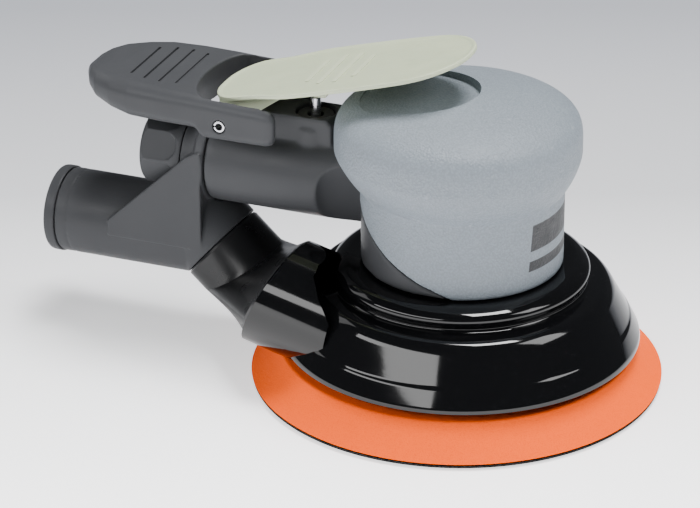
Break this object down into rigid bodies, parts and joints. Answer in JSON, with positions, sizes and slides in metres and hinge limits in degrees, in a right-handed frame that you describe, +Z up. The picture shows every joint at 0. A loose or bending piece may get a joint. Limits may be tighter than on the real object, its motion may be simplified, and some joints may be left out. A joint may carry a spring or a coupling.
{
  "type": "orbital sander",
  "caption": "Palm-held air-driven random orbital sander with a round foam pad, throttle lever, soft grip and a self-generated dust extraction duct.",
  "frame": {"origin": "where the motor axis meets the working face of the sanding pad", "axes": "+Z up along the motor axis from the pad to the grip, -X along the handle towards the air inlet, +Y to the left of someone who holds the handle and looks towards +X"},
  "size_m": [0.1976, 0.127, 0.107],
  "materials": {
    "grip_rubber": "soft leather-grained moulding",
    "black_composite": "satin",
    "gloss_shroud": "polished",
    "cream_lever": "satin",
    "orange_foam": "fine closed-cell foam",
    "black_hook": "hook pile",
    "fibre_plate": "satin",
    "steel": "ground",
    "aluminium": "machined",
    "brass": "turned",
    "rubber": "matt",
    "vane_laminate": "satin",
    "felt": "felted"
  },
  "bodies": {
    "tool_body": {"front_bearing_outer_race": "steel", "rear_bearing_outer_race": "steel", "motor_cylinder": "steel", "front_end_plate": "aluminium", "rear_end_plate": "aluminium", "cylinder_dowel_pin": "steel", "dust_seal": "felt", "lock_ring": "aluminium", "housing": "black_composite", "grip_boot": "grip_rubber", "dust_shroud": "gloss_shroud", "palm_rest": "black_composite", "lever_pin": "steel", "valve_bushing": "brass", "valve_seat": "brass", "valve_spring": "steel", "inlet_bushing": "black_composite", "inlet_screen": "brass", "exhaust_body": "black_composite", "venturi_nozzle": "brass", "hose_end_ring": "black_composite", "swivel_elbow": "black_composite"},
    "motor_shaft": {"shaft_balancer": "steel", "rotor": "steel", "rotor_key": "steel", "rotor_vane_1": "vane_laminate", "rotor_vane_2": "vane_laminate", "rotor_vane_3": "vane_laminate", "rotor_vane_4": "vane_laminate", "rotor_vane_5": "vane_laminate", "front_bearing_inner_race": "steel", "rear_bearing_inner_race": "steel", "shaft_snap_ring": "steel", "spindle_bearing_outer_race": "steel", "spindle_snap_ring": "steel"},
    "sanding_pad": {"pad_hook_face": "black_hook", "pad_foam": "orange_foam", "pad_backing_plate": "fibre_plate", "pad_stud": "steel", "spindle": "steel", "spindle_bearing_inner_race": "steel"},
    "lever": {"throttle_lever": "cream_lever"},
    "throttle_stem": {"valve_stem": "steel", "valve_stem_o_ring": "rubber", "valve_poppet": "rubber"}
  },
  "joints": [
    {"name": "motor_spin", "type": "hinge", "parent": "tool_body", "child": "motor_shaft", "pos_m": [0, 0, 0.05], "axis": [0, 0, 1], "continuous": true},
    {"name": "pad_spin", "type": "hinge", "parent": "motor_shaft", "child": "sanding_pad", "pos_m": [-0.0012, 0, 0.02], "axis": [0, 0, 1], "continuous": true},
    {"name": "lever_press", "type": "hinge", "parent": "tool_body", "child": "lever", "pos_m": [-0.071, 0, 0.0793], "axis": [0, 1, 0], "range_deg": [0, 7], "stiffness_Nm_per_rad": 1, "springref_deg": -17.19},
    {"name": "stem_press", "type": "slide", "parent": "tool_body", "child": "throttle_stem", "axis": [0, 0, -1], "range_m": [0, 0.003], "deforming": ["valve_spring"]}
  ],
  "couplings": [
    {"joint": "stem_press", "follows": "lever_press", "m_per_rad": 0.0236}
  ]
}
